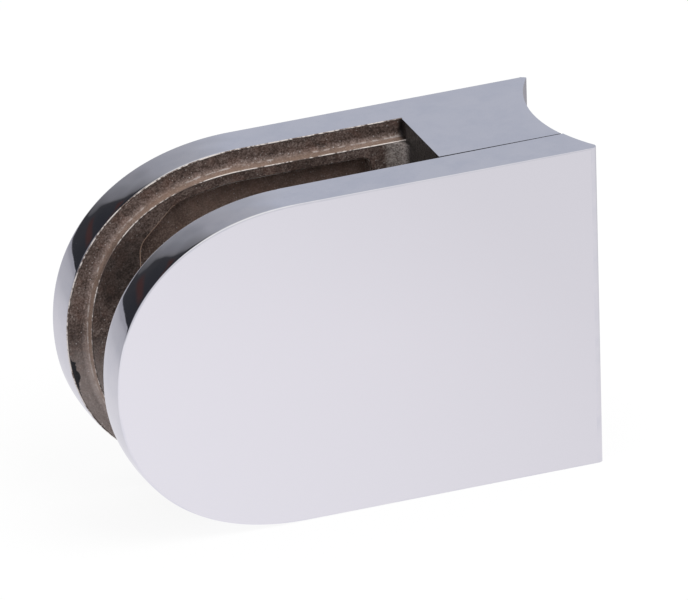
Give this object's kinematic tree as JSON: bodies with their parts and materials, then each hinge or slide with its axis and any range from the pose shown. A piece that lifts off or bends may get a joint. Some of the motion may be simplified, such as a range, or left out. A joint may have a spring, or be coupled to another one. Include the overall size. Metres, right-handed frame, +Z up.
{
  "type": "glass railing tube clamp",
  "caption": "D-shaped polished metal clamp: cast base jaw with a hollow tube saddle, screwed cover jaw, and an open slot between them for the edge of a glass railing panel.",
  "frame": {"origin": "middle of the underside", "axes": "+X along the clamp from its round nose to the post, +Y from the cover jaw to the base jaw, +Z up along the post"},
  "size_m": [0.0666, 0.0248, 0.045],
  "materials": {
    "cast_stainless": "cast stainless steel, mirror polished outside, left rough and brown inside the slot",
    "screw_stainless": "plain stainless steel"
  },
  "bodies": {
    "root": {"base_jaw": "cast_stainless", "cover_jaw": "cast_stainless", "clamp_screw_upper": "screw_stainless", "clamp_screw_lower": "screw_stainless"}
  },
  "joints": []
}
